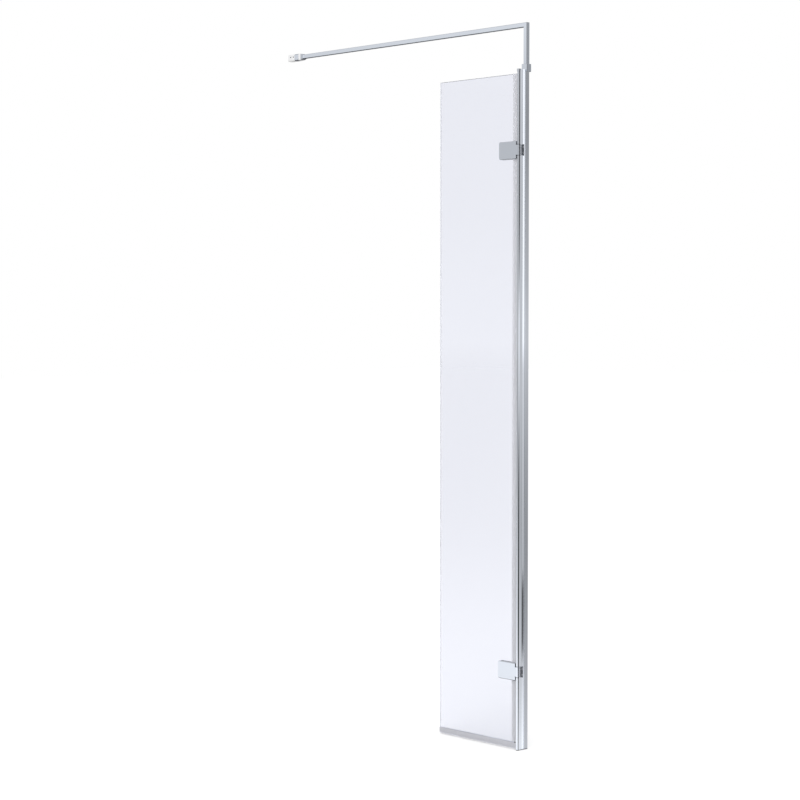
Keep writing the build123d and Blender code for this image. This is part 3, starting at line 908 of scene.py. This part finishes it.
    def add_zone(
        self, nodes: NodeTree, azimuth: bpy.types.NodeSocket, elevation: bpy.types.NodeSocket,
        value: bpy.types.NodeSocket, zone: Zone,
    ) -> bpy.types.NodeSocket:
        """Lay one zone over what reflections see.

        Args:
            nodes: The world's tree.
            azimuth: Azimuth of the ray in degrees, from -180 to 180.
            elevation: Its elevation, from 0 to 1.
            value: The brightness so far.
            zone: The zone to add.

        Returns:
            The new brightness.
        """
        rise = nodes.ease(azimuth, zone.start - zone.soft / 2, zone.start + zone.soft / 2)
        fall = nodes.ease(azimuth, zone.end + zone.soft / 2, zone.end - zone.soft / 2)
        mask = nodes.math("MULTIPLY", rise, fall)
        return nodes.blend(mask, value, self.read_profile(nodes, elevation, zone.profile))

    def make_world(self) -> None:
        """White to the camera and through glass, plain light for matt surfaces, zones in reflections."""
        world = bpy.data.worlds.new("studio")
        bpy.context.scene.world = world
        world.use_nodes = True
        nodes = NodeTree(world.node_tree)
        direction = nodes.add("TexCoord").outputs["Generated"]
        split = nodes.add("SeparateXYZ")
        nodes.join(direction, split.inputs[0])
        x, y, z = split.outputs
        azimuth = nodes.math("DEGREES", nodes.math("ARCTAN2", y, x))
        degrees = nodes.math("DEGREES", nodes.math("ARCSINE", z))
        elevation = nodes.math("DIVIDE", nodes.math("ADD", degrees, 90.0), 180.0)
        value = self.read_profile(nodes, elevation, self.surround)
        for zone in self.zones:
            value = self.add_zone(nodes, azimuth, elevation, value, zone)
        ray = nodes.add("LightPath")
        seen = nodes.math("MAXIMUM", ray.outputs["Is Camera Ray"], ray.outputs["Is Transmission Ray"])
        plain = nodes.blend(ray.outputs["Is Glossy Ray"], self.world_light, value)
        strength = nodes.blend(seen, plain, 1.0)
        background = nodes.add("Background")
        tone = nodes.add("Mix", data_type="RGBA")
        tone.inputs[6].default_value = (1.0, 1.0, 1.0, 1.0)
        tone.inputs[7].default_value = (*self.cool, 1.0)
        mirrored = nodes.math("SUBTRACT", ray.outputs["Is Glossy Ray"], seen, clamp=True)
        nodes.join(mirrored, tone.inputs[0])
        nodes.join(tone.outputs[2], background.inputs["Color"])
        nodes.join(strength, background.inputs["Strength"])
        output = nodes.add("OutputWorld")
        nodes.join(background.outputs[0], output.inputs["Surface"])

    def make_floor(self) -> None:
        """Wide pale floor that stays white but keeps a soft shadow."""
        half = self.floor_size / 2
        mesh = bpy.data.meshes.new("floor")
        corners = [(-half, -half, 0.0), (half, -half, 0.0), (half, half, 0.0), (-half, half, 0.0)]
        mesh.from_pydata(corners, [], [(0, 1, 2, 3)])
        floor = bpy.data.objects.new("floor", mesh)
        bpy.context.scene.collection.objects.link(floor)
        floor.visible_glossy = False
        material = bpy.data.materials.new("pale_floor")
        material.use_nodes = True
        nodes = NodeTree(material.node_tree)
        matt = nodes.add("BsdfDiffuse")
        matt.inputs["Color"].default_value = (*[self.floor_colour] * 3, 1.0)
        glow = nodes.add("Emission")
        ray = nodes.add("LightPath")
        direct = nodes.math("MULTIPLY", ray.outputs["Is Camera Ray"], self.floor_glow)
        through = nodes.math("MULTIPLY", ray.outputs["Is Transmission Ray"], self.floor_glow_through)
        nodes.join(nodes.math("MAXIMUM", direct, through), glow.inputs["Strength"])
        both = nodes.add("AddShader")
        nodes.join(matt.outputs[0], both.inputs[0])
        nodes.join(glow.outputs[0], both.inputs[1])
        output = nodes.add("OutputMaterial")
        nodes.join(both.outputs[0], output.inputs["Surface"])
        mesh.materials.append(material)

    def make_light(self) -> None:
        """One large soft key light high on the outer side."""
        lamp = bpy.data.lights.new("key", "AREA")
        lamp.shape = "DISK"
        lamp.size = self.key_size
        lamp.energy = self.key_power
        key = bpy.data.objects.new("key", lamp)
        key.location = self.key_place
        aim = Vector(self.key_aim) - Vector(self.key_place)
        key.rotation_euler = aim.to_track_quat("-Z", "Y").to_euler()
        key.visible_glossy = False
        bpy.context.scene.collection.objects.link(key)

    def make_camera(self) -> None:
        """Camera at the photograph's place and angle."""
        data = bpy.data.cameras.new("camera")
        data.lens = self.camera_lens
        data.sensor_width = self.camera_sensor
        camera = bpy.data.objects.new("camera", data)
        camera.location = self.camera_place
        camera.rotation_euler = (
            math.radians(90.0 - self.camera_pitch), 0.0, math.radians(self.camera_azimuth)
        )
        bpy.context.scene.collection.objects.link(camera)
        bpy.context.scene.camera = camera

    def build(self) -> None:
        """Set up the whole studio."""
        self.make_camera()
        self.make_world()
        self.make_floor()
        self.make_light()
        bpy.context.scene.view_settings.view_transform = "Standard"
        log.info("studio ready")


def main() -> None:
    """Build the studio and dress every sub-assembly."""
    Studio().build()
    Post().build()
    SupportArm().build()
    for level, height in HINGE_HEIGHTS.items():
        Hinge(level, height).build()
    SwingingPanel().build()


if __name__ == "__main__":
    main()
